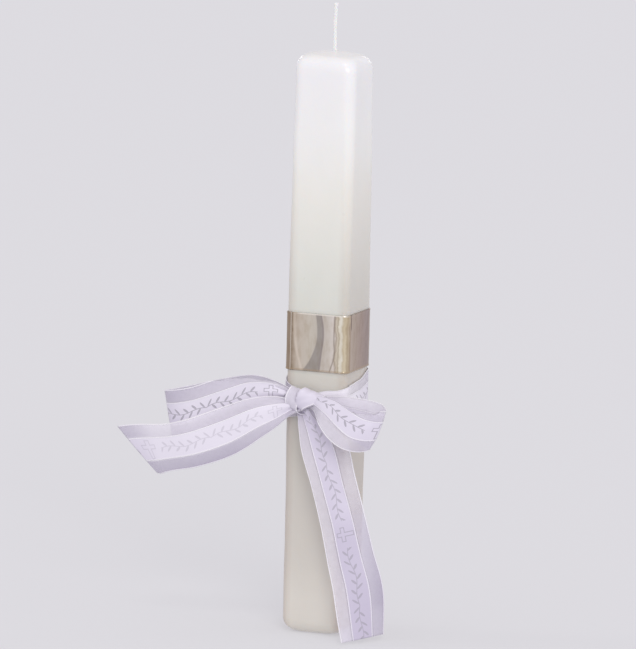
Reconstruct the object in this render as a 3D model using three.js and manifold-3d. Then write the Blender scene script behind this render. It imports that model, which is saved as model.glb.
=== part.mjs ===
// A tall square pillar candle for a ceremony: wax body, cotton wick, polished metal sleeve and a
// printed satin-and-organza ribbon tied under the sleeve in a bow with two loops and two tails.
// Millimetres, +Z up. The origin is the centre of the base; the front face looks along -Y.

import * as THREE from "three";
import { RoundedBoxGeometry } from "three/addons/geometries/RoundedBoxGeometry.js";
import { mergeVertices } from "three/addons/utils/BufferGeometryUtils.js";
import Module from "manifold-3d";

// Driving dimensions.
const GAP = 0.3; // between pieces that touch on the real object

const candleHeight = 300;
const candleWidth = 33.6;
const cornerRadius = 3.2; // upright edges of the wax
const topEdge = { inset: 2.5, height: 2.5 }; // how far each end is rounded over
const baseEdge = { inset: 2.8, height: 5 };

const wickDiameter = 1.7;
const wickExposed = 27.5;
const wickFootHeight = 4; // wax left under the wick's lower end

const sleeveHeight = 30;
const sleeveWall = 0.4;
const sleeveBottom = 138; // height of the sleeve's lower rim over the table

const ribbonWidth = 25.4;
const ribbonThickness = 0.6;
const wrapTopGap = 1; // between the wrap's upper edge and the sleeve, at the back
const wrapGather = 0.48; // share of the ribbon's width left where it runs under the knot
const wrapDip = 10.5; // how far the wrap's upper edge is pulled down at the knot

const knotX = -4; // the knot sits a little left of the middle of the front face
const knotWidth = 10.6;
const knotHeight = 12.6;
const knotDepth = 7.5;
const knotRounding = 3;
const knotBelowWrapTop = 13.7; // from the wrap's upper edge at the back to the knot's middle

const tailEndHeight = 2.4; // middle of the right tail's cut end over the table

// Places that follow from them.
const wrapTop = sleeveBottom - wrapTopGap;
const knotZ = wrapTop - knotBelowWrapTop;
const wrapHalf = candleWidth / 2 + GAP + ribbonThickness / 2; // from the axis to mid-ribbon
const wrapFront = wrapHalf + ribbonThickness / 2;

const waxMaterial = new THREE.MeshStandardMaterial({ color: 0xe6e1db, roughness: 0.35 });
const wickMaterial = new THREE.MeshStandardMaterial({ color: 0xf2ece6, roughness: 0.95 });
const metalMaterial = new THREE.MeshStandardMaterial({
  color: 0xc9b8a6,
  roughness: 0.15,
  metalness: 1,
});
const ribbonMaterial = new THREE.MeshStandardMaterial({
  color: 0xe2dbee,
  roughness: 0.45,
  side: THREE.DoubleSide,
});

const wasm = await Module();
wasm.setup();

// A closed three.js geometry as a solid that can be joined and cut.
function toSolid(geometry) {
  const bare = geometry.clone();
  bare.deleteAttribute("normal");
  bare.deleteAttribute("uv");
  const merged = mergeVertices(bare, 1e-4);
  return new wasm.Manifold(
    new wasm.Mesh({
      numProp: 3,
      vertProperties: merged.attributes.position.array,
      triVerts: new Uint32Array(merged.index.array),
    }),
  );
}

function toGeometry(solid) {
  const mesh = solid.getMesh();
  const geometry = new THREE.BufferGeometry();
  geometry.setAttribute("position", new THREE.BufferAttribute(mesh.vertProperties, 3));
  geometry.setIndex(new THREE.BufferAttribute(mesh.triVerts, 1));
  geometry.computeVertexNormals();
  return geometry;
}

function namedMesh(name, geometry, material) {
  const mesh = new THREE.Mesh(geometry, material);
  mesh.name = name;
  return mesh;
}

// Traces a square with round corners onto a Shape or Path, counterclockwise from its lower side.
function traceRoundedSquare(path, half, radius, startX = 0, endX = 0) {
  const inner = half - radius;
  path.moveTo(startX, -half);
  path.lineTo(inner, -half);
  path.absarc(inner, -inner, radius, -Math.PI / 2, 0, false);
  path.absarc(inner, inner, radius, 0, Math.PI / 2, false);
  path.absarc(-inner, inner, radius, Math.PI / 2, Math.PI, false);
  path.absarc(-inner, -inner, radius, Math.PI, (3 * Math.PI) / 2, false);
  path.lineTo(endX, -half);
  return path;
}

// A length of the pillar from low to high with both ends rounded over. The rounding stays inside
// the corner radius, so that every length has the same upright edges.
function pillarLength(low, high, edge) {
  const inset = Math.min(edge.inset, 0.93 * cornerRadius);
  const core = traceRoundedSquare(
    new THREE.Shape(),
    candleWidth / 2 - inset,
    cornerRadius - inset,
  );
  const geometry = new THREE.ExtrudeGeometry(core, {
    depth: high - low - 2 * edge.height,
    bevelThickness: edge.height,
    bevelSize: inset,
    bevelSegments: 5,
    curveSegments: 6,
  });
  return geometry.translate(0, 0, low + edge.height);
}

// The wax: square pillar, softly rounded, with the blind hole that the wick was cast into.
function waxBody() {
  const lower = toSolid(pillarLength(0, candleHeight * 0.6, baseEdge));
  const upper = toSolid(pillarLength(candleHeight * 0.4, candleHeight, topEdge));
  const boreRadius = wickDiameter / 2 + GAP;
  const boreFoot = wickFootHeight - GAP;
  const bore = new THREE.CylinderGeometry(boreRadius, boreRadius, candleHeight, 16)
    .rotateX(Math.PI / 2)
    .translate(0, 0, boreFoot + candleHeight / 2);
  return toGeometry(lower.add(upper).subtract(toSolid(bore)));
}

// The wick runs nearly the whole height of the wax and stands a little bowed above it.
function wick() {
  const bow = [
    [0, 0],
    [-0.25, 0.3],
    [-0.5, 0.6],
    [0.3, 1],
  ];
  const points = [
    new THREE.Vector3(0, 0, wickFootHeight),
    new THREE.Vector3(0, 0, candleHeight / 2),
    new THREE.Vector3(0, 0, candleHeight - 2 * wickDiameter),
    ...bow.map(([x, share]) => new THREE.Vector3(x, 0, candleHeight + share * wickExposed)),
  ];
  const section = new THREE.Shape().absarc(0, 0, wickDiameter / 2, 0, 2 * Math.PI, false);
  return new THREE.ExtrudeGeometry(section, {
    steps: 48,
    curveSegments: 8,
    extrudePath: new THREE.CatmullRomCurve3(points),
  });
}

// The sleeve: thin square tube that slips over the wax.
function metalSleeve() {
  const inside = candleWidth / 2 + GAP;
  const outline = traceRoundedSquare(
    new THREE.Shape(),
    inside + sleeveWall,
    cornerRadius + GAP + sleeveWall,
  );
  outline.holes.push(traceRoundedSquare(new THREE.Path(), inside, cornerRadius + GAP));
  const geometry = new THREE.ExtrudeGeometry(outline, {
    depth: sleeveHeight,
    bevelEnabled: false,
    curveSegments: 8,
  });
  return geometry.translate(0, 0, sleeveBottom);
}

// Frames for a ribbon's path: acrossAt(t) gives the way its width runs, its length the share of
// the full width that is spread out there.
function ribbonFrames(path, steps, acrossAt) {
  const frames = { tangents: [], normals: [], binormals: [] };
  for (let i = 0; i <= steps; i++) {
    const t = path.getUtoTmapping(i / steps);
    const tangent = path.getTangent(t);
    const across = acrossAt(t);
    frames.tangents.push(tangent);
    frames.binormals.push(across);
    frames.normals.push(new THREE.Vector3().crossVectors(across, tangent).normalize());
  }
  return frames;
}

// A free stretch of ribbon through hand-placed stations.
class RibbonPath extends THREE.CatmullRomCurve3 {
  constructor(stations) {
    super(stations.map((station) => station.at));
    this.spread = new THREE.CatmullRomCurve3(stations.map((station) => station.across));
  }

  computeFrenetFrames(steps) {
    return ribbonFrames(this, steps, (t) => this.spread.getPoint(t));
  }
}

// The stretch of ribbon that goes once round the wax; both its ends lie under the knot.
class WrapPath extends THREE.Curve {
  constructor() {
    super();
    const radius = cornerRadius + GAP + ribbonThickness / 2;
    this.outline = traceRoundedSquare(new THREE.Path(), wrapHalf, radius, knotX + GAP, knotX - GAP);
  }

  // How strongly the knot gathers the ribbon, 1 at the knot to 0 at the back. The pull reaches
  // further on the right of the knot than on its left.
  pull(t) {
    const length = this.outline.getLength();
    const pastKnot = t * length;
    const beforeKnot = (1 - t) * length;
    return Math.exp(-((pastKnot / 26) ** 2)) + Math.exp(-((beforeKnot / 12) ** 2));
  }

  share(t) {
    return 1 - (1 - wrapGather) * this.pull(t);
  }

  getPoint(t, target = new THREE.Vector3()) {
    const p = this.outline.getPointAt(t);
    const top = wrapTop - wrapDip * this.pull(t);
    return target.set(p.x, p.y, top - (ribbonWidth * this.share(t)) / 2);
  }

  computeFrenetFrames(steps) {
    return ribbonFrames(this, steps, (t) => new THREE.Vector3(0, 0, this.share(t)));
  }
}

function ribbonAlong(path, steps) {
  const t = ribbonThickness / 2;
  const w = ribbonWidth / 2;
  const section = new THREE.Shape();
  section.moveTo(-t, -w);
  section.lineTo(t, -w);
  section.lineTo(t, w);
  section.lineTo(-t, w);
  return new THREE.ExtrudeGeometry(section, { steps, extrudePath: path });
}

// One station of the bow: x from the knot's middle, out from the wrap's front, z from the knot's
// middle, then the direction of the ribbon's width and the share of it that is spread out.
function station(x, out, z, across, share) {
  return {
    at: new THREE.Vector3(knotX + x, -wrapFront - out, knotZ + z),
    across: new THREE.Vector3(...across).normalize().multiplyScalar(share),
  };
}

function knot() {
  return new RoundedBoxGeometry(knotWidth, knotDepth, knotHeight, 3, knotRounding).translate(
    knotX,
    -wrapFront - GAP - knotDepth / 2,
    knotZ,
  );
}

const besideKnot = knotWidth / 2 + GAP;
const underKnot = knotHeight / 2 + GAP;

// Flat loop that reaches left and slightly down: out along its front layer and back behind it.
function loopLeft() {
  return new RibbonPath([
    station(-besideKnot, 4.1, 0, [0, 0, 1], 0.32),
    station(-15.5, 6.1, -0.4, [0, 0, 1], 0.7),
    station(-28.3, 7.4, -2.2, [-0.04, 0, 1], 0.95),
    station(-44.8, 7.4, -5, [-0.1, 0, 1], 1),
    station(-61.2, 6, -10, [-0.17, 0, 0.98], 1),
    station(-72, 4.6, -12.4, [-0.19, 0, 0.98], 1),
    station(-76, 2.2, -13.2, [-0.19, 0, 0.98], 1),
    station(-72, 0, -12.4, [-0.19, 0, 0.98], 1),
    station(-61.2, -0.6, -9.4, [-0.17, 0, 0.98], 1),
    station(-44.8, -0.4, -4, [-0.1, 0, 1], 1),
    station(-28.3, 0.9, -0.6, [-0.04, 0, 1], 1),
    station(-15.5, 1.8, 0, [0, 0, 1], 0.72),
    station(-besideKnot, 2, 0, [0, 0, 1], 0.32),
  ]);
}

// Open loop that droops to the right, its front layer fanned out towards the viewer.
function loopRight() {
  return new RibbonPath([
    station(besideKnot, 6.4, 0, [0, 0, 1], 0.3),
    station(16.5, 12.6, -4.5, [0.45, 0.3, 0.84], 0.62),
    station(28, 16.6, -10, [0.5, 0.3, 0.81], 0.88),
    station(37, 15.6, -13, [0.42, 0.3, 0.86], 0.95),
    station(43.5, 12.1, -12, [0.35, 0.2, 0.91], 0.98),
    station(40.5, 7.8, -9.8, [0.24, 0.12, 0.96], 1),
    station(27.5, 6.3, -6.6, [0.08, 0, 1], 0.84),
    station(14, 5.1, -2.8, [0, 0, 1], 0.5),
    station(besideKnot, 4.4, -0.8, [0, 0, 1], 0.3),
  ]);
}

// Tail that stands out to the left with its end cut on the slant.
function tailLeft() {
  return new RibbonPath([
    station(-besideKnot, 6.6, -3.2, [0, 0, 1], 0.3),
    station(-13.6, 8.6, -6, [-0.12, 0, 0.99], 0.62),
    station(-23.4, 10.2, -10.2, [-0.36, 0, 0.93], 0.9),
    station(-40, 10.6, -17, [-0.36, 0, 0.93], 1),
    station(-59.3, 10.6, -24.9, [-0.36, 0, 0.93], 1),
    station(-76, 8.6, -30.4, [-0.28, 0, 0.96], 1),
    station(-91.3, 6.6, -33.2, [-0.71, 0, 0.7], 1.28),
  ]);
}

// Tail that falls to the right in front of the wax and reaches the table.
function tailRight() {
  const drop = knotZ - tailEndHeight;
  return new RibbonPath([
    station(1, 3.1, -underKnot, [1, 0.15, 0], 0.36),
    station(7, 4.1, -0.121 * drop, [0.93, 0.33, 0.1], 0.75),
    station(11.2, 4.6, -0.192 * drop, [0.9, 0.36, 0.18], 1),
    station(16.7, 5.6, -0.333 * drop, [0.9, 0.36, 0.24], 1),
    station(23.4, 7.1, -0.504 * drop, [0.9, 0.36, 0.24], 1),
    station(28.3, 7.1, -0.654 * drop, [0.9, 0.36, 0.24], 1),
    station(32.9, 7.1, -0.785 * drop, [0.87, 0.42, 0.2], 1),
    station(35.5, 6.1, -drop, [0.62, 0.78, 0.1], 1),
  ]);
}

const candle = new THREE.Group();
candle.add(namedMesh("wax_body", waxBody(), waxMaterial));
candle.add(namedMesh("wick", wick(), wickMaterial));

const sleeve = new THREE.Group();
sleeve.add(namedMesh("metal_sleeve", metalSleeve(), metalMaterial));

const ribbon = new THREE.Group();
ribbon.add(namedMesh("ribbon_wrap", ribbonAlong(new WrapPath(), 96), ribbonMaterial));
ribbon.add(namedMesh("ribbon_knot", knot(), ribbonMaterial));
ribbon.add(namedMesh("ribbon_loop_left", ribbonAlong(loopLeft(), 90), ribbonMaterial));
ribbon.add(namedMesh("ribbon_loop_right", ribbonAlong(loopRight(), 60), ribbonMaterial));
ribbon.add(namedMesh("ribbon_tail_left", ribbonAlong(tailLeft(), 40), ribbonMaterial));
ribbon.add(namedMesh("ribbon_tail_right", ribbonAlong(tailRight(), 50), ribbonMaterial));

const group = new THREE.Group();
group.add(candle, sleeve, ribbon);

export default group;
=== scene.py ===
"""A square ceremony candle with a metal sleeve and a ribbon bow: its looks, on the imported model.

+Z up, metres, origin at the middle of the base, front face towards -Y. Lengths written here are
millimetres, and MM turns them into metres.
"""

from math import cos, degrees, exp, pi, radians, sin, sqrt, tau

import bpy
import numpy as np
from mathutils import Matrix, Vector, noise


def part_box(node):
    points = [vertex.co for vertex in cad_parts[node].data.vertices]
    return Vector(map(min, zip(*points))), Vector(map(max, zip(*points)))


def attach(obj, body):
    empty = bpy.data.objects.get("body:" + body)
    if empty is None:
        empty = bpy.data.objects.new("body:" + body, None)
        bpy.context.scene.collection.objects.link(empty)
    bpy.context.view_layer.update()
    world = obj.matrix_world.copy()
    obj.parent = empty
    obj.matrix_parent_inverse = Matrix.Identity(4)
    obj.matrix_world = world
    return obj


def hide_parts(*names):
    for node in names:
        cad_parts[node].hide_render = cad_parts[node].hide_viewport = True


MM = 0.001

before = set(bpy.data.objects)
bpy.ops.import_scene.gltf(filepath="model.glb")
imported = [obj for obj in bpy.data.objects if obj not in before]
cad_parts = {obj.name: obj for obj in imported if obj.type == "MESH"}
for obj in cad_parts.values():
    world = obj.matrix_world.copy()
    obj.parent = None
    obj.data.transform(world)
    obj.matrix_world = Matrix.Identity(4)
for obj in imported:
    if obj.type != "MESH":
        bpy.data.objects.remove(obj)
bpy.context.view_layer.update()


def box_mm(node):
    """A CAD node's lowest and highest corners in millimetres."""
    low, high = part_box(node)
    return np.array(low) / MM, np.array(high) / MM


WAX_HIGH = box_mm("wax_body")[1]
SLEEVE_LOW, SLEEVE_HIGH = box_mm("metal_sleeve")
WRAP_LOW, WRAP_HIGH = box_mm("ribbon_wrap")
KNOT_LOW, KNOT_HIGH = box_mm("ribbon_knot")

WAX_HALF = WAX_HIGH[0]
WAX_TOP = WAX_HIGH[2]
WAX_CORNER = 3.2  # plan radius of the wax's corners where the ribbon goes round it
KNOT = (KNOT_LOW + KNOT_HIGH) / 2  # middle of the knot
RIBBON_WIDTH = 25.4

# The camera, at the photograph's angle. It looks at a point moved right and up from the origin.
AZIMUTH = radians(21)
ELEVATION = radians(9)
ROLL = radians(1.39)
DISTANCE = 3.0
VIEW_HEIGHT = 0.3375  # how much the picture shows from top to bottom
AIM_RIGHT = -0.0054
AIM_UP = 0.158
SENSOR = 36

# Name, azimuth, elevation, strength and angular size of a broad light, two lamps that give the
# highlights, and two that line both edges from behind.
SUNS = [
    ("front_light", 33, 24, 0.85, 30),
    ("upper_lamp", 24, 60, 0.16, 9),
    ("left_lamp", -78, 46, 0.12, 9),
    ("left_rim", -141, 8, 0.09, 12),
    ("right_rim", 184, 8, 0.05, 12),
]
FLOOR_REACH = 30
FLOOR_DROP = 0.0002  # the floor lies this far under the base


# ---- camera, lights and floor


def direction(azimuth, elevation):
    """Unit vector towards an azimuth and elevation in degrees; azimuth 0 is straight in front."""
    a, e = radians(azimuth), radians(elevation)
    return Vector((sin(a) * cos(e), -cos(a) * cos(e), sin(e)))


def add_to_scene(name, data):
    """A new object with this mesh, lamp or camera."""
    thing = bpy.data.objects.new(name, data)
    bpy.context.scene.collection.objects.link(thing)
    return thing


def add_camera():
    toward = direction(degrees(AZIMUTH), degrees(ELEVATION))
    right = Vector((cos(AZIMUTH), sin(AZIMUTH), 0))
    up = toward.cross(right)
    place = right * AIM_RIGHT + up * AIM_UP + toward * DISTANCE
    turned_right = right * cos(ROLL) + up * sin(ROLL)
    turned_up = toward.cross(turned_right)
    data = bpy.data.cameras.new("camera")
    data.sensor_width = SENSOR
    data.lens = SENSOR * DISTANCE / VIEW_HEIGHT
    data.clip_end = 100
    camera = add_to_scene("camera", data)
    axes = Matrix((turned_right, turned_up, toward)).transposed()
    camera.matrix_world = Matrix.Translation(place) @ axes.to_4x4()
    bpy.context.scene.camera = camera


def add_sun(name, azimuth, elevation, strength, angle):
    data = bpy.data.lights.new(name, "SUN")
    data.energy = strength
    data.angle = radians(angle)
    sun = add_to_scene(name, data)
    sun.rotation_euler = direction(azimuth, elevation).to_track_quat("Z", "Y").to_euler()


def add_lights():
    """A bright even room and the lamps."""
    for sun in SUNS:
        add_sun(*sun)
    world = bpy.data.worlds.new("room")
    world.use_nodes = True
    background = world.node_tree.nodes["Background"]
    background.inputs["Color"].default_value = (0.722, 0.707, 0.742, 1)
    background.inputs["Strength"].default_value = 1
    bpy.context.scene.world = world


def add_floor():
    data = bpy.data.meshes.new("floor")
    sides = [(-1, -1), (1, -1), (1, 1), (-1, 1)]
    corners = [(x * FLOOR_REACH, y * FLOOR_REACH, -FLOOR_DROP) for x, y in sides]
    data.from_pydata(corners, [], [(0, 1, 2, 3)])
    made = Nodes("floor")
    made.look(Base_Color=(0.40, 0.40, 0.40), Roughness=1, Specular_IOR_Level=0)
    made.look(Emission_Color=(0.361, 0.354, 0.378), Emission_Strength=1)
    data.materials.append(made.material)
    floor = add_to_scene("floor", data)


# ---- materials


class Nodes:
    """A node material, and short ways to add nodes to it."""

    def __init__(self, name):
        self.material = bpy.data.materials.new(name)
        self.material.use_nodes = True
        self.tree = self.material.node_tree
        self.shader = self.tree.nodes["Principled BSDF"]

    def set(self, name, value):
        """Sets one input of the shader."""
        self.feed(self.shader.inputs[name], value)

    def look(self, **values):
        """Sets inputs of the shader whose names have _ for each space."""
        for name, value in values.items():
            self.set(name.replace("_", " "), value)

    def feed(self, socket, value):
        """Gives a socket a number, a colour, or another node's output."""
        if isinstance(value, bpy.types.NodeSocket):
            self.tree.links.new(value, socket)
        elif isinstance(value, tuple) and len(value) == 3 and len(socket.default_value) == 4:
            socket.default_value = (*value, 1)
        else:
            socket.default_value = value

    def node(self, kind):
        return self.tree.nodes.new("ShaderNode" + kind)

    def math(self, operation, *values, clamp=False):
        node = self.node("Math")
        node.operation = operation
        node.use_clamp = clamp
        for socket, value in zip(node.inputs, values):
            self.feed(socket, value)
        return node.outputs[0]

    def times(self, first, second):
        return self.math("MULTIPLY", first, second)

    def plus(self, first, second, clamp=False):
        return self.math("ADD", first, second, clamp=clamp)

    def minus(self, first, second, clamp=False):
        return self.math("SUBTRACT", first, second, clamp=clamp)

    def mix(self, factor, first, second, blend="MIX"):
        node = self.node("Mix")
        node.data_type = "RGBA"
        node.blend_type = blend
        self.feed(node.inputs["Factor"], factor)
        self.feed(node.inputs[6], first)
        self.feed(node.inputs[7], second)
        return node.outputs[2]

    def between(self, value, low, high, soft=0.3):
        """1 where value is from low to high, falling off over soft."""
        up = self.ramp_up(value, low, soft)
        down = self.ramp_up(value, high, soft)
        return self.minus(up, down, clamp=True)

    def ramp_up(self, value, edge, soft):
        """0 below edge and 1 above it, over the width soft."""
        shifted = self.minus(value, edge)
        return self.plus(self.math("DIVIDE", shifted, soft), 0.5, clamp=True)

    def ramp(self, factor, stops):
        """A colour ramp with stops (place, colour)."""
        node = self.node("ValToRGB")
        self.feed(node.inputs["Fac"], factor)
        elements = node.color_ramp.elements
        for index, (place, colour) in enumerate(stops):
            element = elements[index] if index < 2 else elements.new(place)
            element.position = place
            element.color = (*colour, 1)
        return node.outputs["Color"]

    def curve(self, factor, points):
        """A smooth curve through points (place, value), both from 0 to 1."""
        node = self.node("FloatCurve")
        self.feed(node.inputs["Value"], factor)
        line = node.mapping.curves[0]
        for index, (place, value) in enumerate(points):
            if index < 2:
                line.points[index].location = (place, value)
            else:
                line.points.new(place, value)
        node.mapping.update()
        return node.outputs["Value"]

    def attribute(self, name):
        node = self.node("Attribute")
        node.attribute_name = name
        return node.outputs["Fac"]

    def place(self, scale=(1, 1, 1)):
        """The point on the object, scaled."""
        coordinates = self.node("TexCoord")
        mapping = self.node("Mapping")
        mapping.inputs["Scale"].default_value = scale
        self.tree.links.new(coordinates.outputs["Object"], mapping.inputs["Vector"])
        return mapping.outputs["Vector"]

    def join(self, x, y, z=0.0):
        node = self.node("CombineXYZ")
        for socket, value in zip(node.inputs, (x, y, z)):
            self.feed(socket, value)
        return node.outputs[0]

    def split(self, vector):
        node = self.node("SeparateXYZ")
        self.feed(node.inputs[0], vector)
        return node.outputs

    def noise(self, vector, scale, detail=2.0):
        node = self.node("TexNoise")
        node.inputs["Scale"].default_value = scale
        node.inputs["Detail"].default_value = detail
        self.feed(node.inputs["Vector"], vector)
        return node.outputs["Fac"]

    def bump(self, height, strength, distance):
        node = self.node("Bump")
        node.inputs["Strength"].default_value = strength
        node.inputs["Distance"].default_value = distance
        self.feed(node.inputs["Height"], height)
        self.set("Normal", node.outputs["Normal"])


# Colours of the wax by height, as a share of the candle's: the wax's cream with painted light over
# it, whitest near the top, darkest a quarter of the way up and lighter again at the foot.
WAX_CREAM_AND_PAINTED_LIGHT = [
    (0.0, (0.745, 0.71, 0.645)),
    (0.06, (0.75, 0.715, 0.65)),
    (0.12, (0.70, 0.665, 0.605)),
    (0.22, (0.66, 0.625, 0.57)),
    (0.32, (0.655, 0.625, 0.565)),
    (0.44, (0.715, 0.69, 0.62)),
    (0.60, (0.76, 0.765, 0.705)),
    (0.76, (0.885, 0.875, 0.82)),
    (0.88, (0.93, 0.925, 0.915)),
    (0.993, (0.94, 0.935, 0.95)),
    (1.0, (0.90, 0.885, 0.865)),
]


def wax_tone(made):
    """The wax's colour by height with painted light, and painted shade that makes it a little darker
    beside its edges low down.
    """
    height = made.math("DIVIDE", made.split(made.place())[2], WAX_TOP * MM)
    across = made.math("ABSOLUTE", made.split(made.place())[0])
    beside = made.ramp_up(across, 12.8 * MM, 4 * MM)
    low_down_shade = made.minus(1.0, made.ramp_up(height, 0.72, 0.24))
    tone = made.ramp(height, WAX_CREAM_AND_PAINTED_LIGHT)
    # painted shade: darker beside the side edges in the lower part of the candle
    return made.mix(made.times(beside, low_down_shade), tone, (0.885, 0.845, 0.835), "MULTIPLY")


def wax_material():
    """Glossy cast wax, creamy, with painted light that makes it whitest at the top and darker lower
    down, and faint clouding.
    """
    made = Nodes("wax")
    clouds = made.noise(made.place((1, 1, 0.5)), 55, 3)
    clouded = made.mix(clouds, (0.93, 0.93, 0.92), (1.0, 1.0, 1.0))
    made.set("Base Color", made.mix(1.0, wax_tone(made), clouded, "MULTIPLY"))
    rough = made.noise(made.place(), 90, 2)
    made.set("Roughness", made.plus(made.times(rough, 0.14), 0.24))
    made.look(IOR=1.44, Coat_Weight=0.45, Coat_Roughness=0.09, Subsurface_Weight=0.35)
    made.look(Subsurface_Radius=(1.0, 0.85, 0.7), Subsurface_Scale=0.005)
    made.bump(made.noise(made.place(), 160, 3), 0.12, 0.0006)
    return made.material


def wick_material():
    """Cotton plait with a little wax in it, its fibres in two whites."""
    made = Nodes("cotton")
    fibre = made.noise(made.place((1, 1, 0.35)), 2600, 3)
    made.set("Base Color", made.mix(fibre, (0.90, 0.86, 0.83), (1.0, 0.97, 0.955)))
    made.look(Roughness=0.6, Sheen_Weight=0.3, Subsurface_Weight=0.2, Subsurface_Scale=0.001)
    made.bump(fibre, 0.3, 0.0001)
    return made.material


# ---- mesh helpers


def new_object(name, points, faces, materials, face_slots=None):
    """A smooth mesh object from points in millimetres."""
    data = bpy.data.meshes.new(name)
    data.from_pydata([tuple(p * MM) for p in np.asarray(points)], [], faces)
    for material in materials:
        data.materials.append(material)
    if face_slots is not None:
        data.polygons.foreach_set("material_index", face_slots)
    data.shade_smooth()
    data.validate()
    return add_to_scene(name, data)


def add_attributes(piece, **layers):
    """Stores numbers for each point, for the piece's material."""
    for name, values in layers.items():
        layer = piece.data.attributes.new(name, "FLOAT", "POINT")
        layer.data.foreach_set("value", np.asarray(values, np.float32))


def distances(points):
    """How far along the path through them each of the points is."""
    gaps = np.linalg.norm(np.diff(points, axis=0), axis=1)
    return np.concatenate([[0], np.cumsum(gaps)])


def unit(vectors):
    return vectors / np.maximum(np.linalg.norm(vectors, axis=-1, keepdims=True), 1e-9)


def grid_faces(rows, columns, start=0):
    """Quads joining closed rows of points."""
    faces = []
    for i in range(rows - 1):
        for j in range(columns):
            a, b = i * columns + j, i * columns + (j + 1) % columns
            faces.append((start + a, start + b, start + b + columns, start + a + columns))
    return faces


def square_ring(half, radius, z, side_steps=12, corner_steps=10):
    """Points round a square with round corners, counterclockwise from the front left."""
    inner = half - radius
    points = []
    for quarter in range(4):
        turn = quarter * pi / 2
        c, s = cos(turn), sin(turn)
        local = [(-inner + 2 * inner * k / side_steps, -half) for k in range(side_steps)]
        for k in range(corner_steps):
            angle = -pi / 2 + pi / 2 * k / corner_steps
            local.append((inner + radius * cos(angle), -inner + radius * sin(angle)))
        points += [(x * c - y * s, x * s + y * c, z) for x, y in local]
    return np.array(points)


def ease(value, stops):
    """Smooth interpolation through stops (place, value)."""
    places, values = zip(*stops)
    value = min(max(value, places[0]), places[-1])
    for k in range(len(places) - 1):
        if value <= places[k + 1]:
            t = (value - places[k]) / (places[k + 1] - places[k])
            t = t * t * (3 - 2 * t)
            return values[k] + (values[k + 1] - values[k]) * t
    return values[-1]


# ---- wax and wick

BASE_ROUND = (6.2, 7.6)  # how far in and how far up the lower edge is rounded
TOP_ROUND = (5.0, 7.6)  # how far in and how far down the upper edge is rounded
TOP_CORNER = 7.2  # plan radius of the corners at the top
TOP_EDGE = 300.0  # height where the rounding ends and the crown begins
CROWN = 0.3  # how much the top rises from its edge to the wick
CROWN_HALF = 1.5  # half width of the crown's innermost ring
MENISCUS = [(1.05, 1.03, 0.35), (0.55, 0.54, 0.5)]  # half width, radius and rise by the wick
TOP_LEAN = (-0.037, -0.03)  # how the top rises along x and y
DOME = 1.6  # how much higher the middle of the top set than its corners
DOME_MIDDLE = (0.3, 3.7)
RISE_FROM = 285  # the lean and the dome begin at this height
RISE_OVER = 14  # and are whole this much above it
DRIP_HEIGHT = 287  # the middle of the small run of wax
DRIP_LONG = 5
DRIP_WIDE = 3.4
DRIP_DEPTH = 0.5
DRIP_BEADS = 0.6

# Half width of the wax by height, as a share of its widest, and plan radius of its corners.
WIDTH_BY_HEIGHT = [(0, 0.972), (70, 0.968), (130, 0.985), (165, 1.0), (225, 0.997), (290, 0.986)]
CORNER_BY_HEIGHT = [(0, 3.8), (120, WAX_CORNER), (180, WAX_CORNER), (245, 4.6), (288, 5.6)]


def base_rings(steps=8):
    """The underside and its rounding, as rings of half width, corner radius and height."""
    rings = [(2.0, 1.9, 0.0), (8.0, 3.0, 0.0)]
    half, radius = WAX_HALF * WIDTH_BY_HEIGHT[0][1], CORNER_BY_HEIGHT[0][1]
    for k in range(steps + 1):
        angle = pi / 2 * k / steps
        inset = BASE_ROUND[0] * (1 - sin(angle))
        z = BASE_ROUND[1] * (1 - cos(angle))
        rings.append((half - inset, radius + 0.4 * inset, z))
    return rings


def side_rings(low, high, steps=95):
    heights = [low + (high - low) * k / steps for k in range(1, steps + 1)]
    return [(WAX_HALF * ease(z, WIDTH_BY_HEIGHT), ease(z, CORNER_BY_HEIGHT), z) for z in heights]


def top_rings(half, radius, z, steps=10):
    """The rounding above the last ring of the sides."""
    rings = []
    for k in range(1, steps + 1):
        angle = pi / 2 * k / steps
        inset = TOP_ROUND[0] * (1 - cos(angle))
        corner = radius + (TOP_CORNER - radius) * sin(angle) ** 2
        rings.append((half - inset, corner, z + TOP_ROUND[1] * sin(angle)))
    return rings


def crown_rings(edge_half, edge_radius, edge_z, steps=8):
    """The top inside its rounding, and the wax drawn up round the wick."""
    rings = []
    for k in range(1, steps + 1):
        t = k / steps
        half = edge_half + (CROWN_HALF - edge_half) * t
        radius = min(edge_radius + (half - edge_radius) * t * t, half * 0.98)
        rings.append((half, radius, edge_z + CROWN * (1 - (1 - t) ** 2)))
    foot = rings[-1][2]
    return rings + [(half, radius, foot + rise) for half, radius, rise in MENISCUS]


def uneven(points, amount, size, seed):
    """Moves points in and out from the axis by smooth noise."""
    moved = points.copy()
    for k, p in enumerate(points):
        n = noise.noise(Vector(((p[0] + seed) / size, p[1] / size, p[2] / size)))
        flat = Vector((p[0], p[1], 0))
        if flat.length > 3:
            moved[k, :2] += np.array(flat.normalized())[:2] * amount * n
    return moved


def with_drip(points):
    """Adds the small run of wax down the near edge, just under the top."""
    x, y, z = points.T
    beside = np.hypot(x - WAX_HALF, y + WAX_HALF)
    beads = (1 + DRIP_BEADS * np.cos(z * 1.2)) / (1 + DRIP_BEADS)
    run = DRIP_DEPTH * np.exp(-(((z - DRIP_HEIGHT) / DRIP_LONG) ** 2)) * beads
    outward = 0.7 * run * np.exp(-((beside / DRIP_WIDE) ** 2))
    points[:, 0] += outward
    points[:, 1] -= outward
    return points


def top_rise(points):
    """How far points near the top are lifted by its lean and its dome."""
    x, y, z = points.T
    near_top = np.clip((z - RISE_FROM) / RISE_OVER, 0, 1)
    dome = DOME
    for place, middle in zip((x, y), DOME_MIDDLE):
        dome = dome * np.cos(np.clip((place - middle) / WAX_HALF, -0.9, 0.9) * pi / 2)
    return near_top * (TOP_LEAN[0] * x + TOP_LEAN[1] * y + dome)


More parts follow.
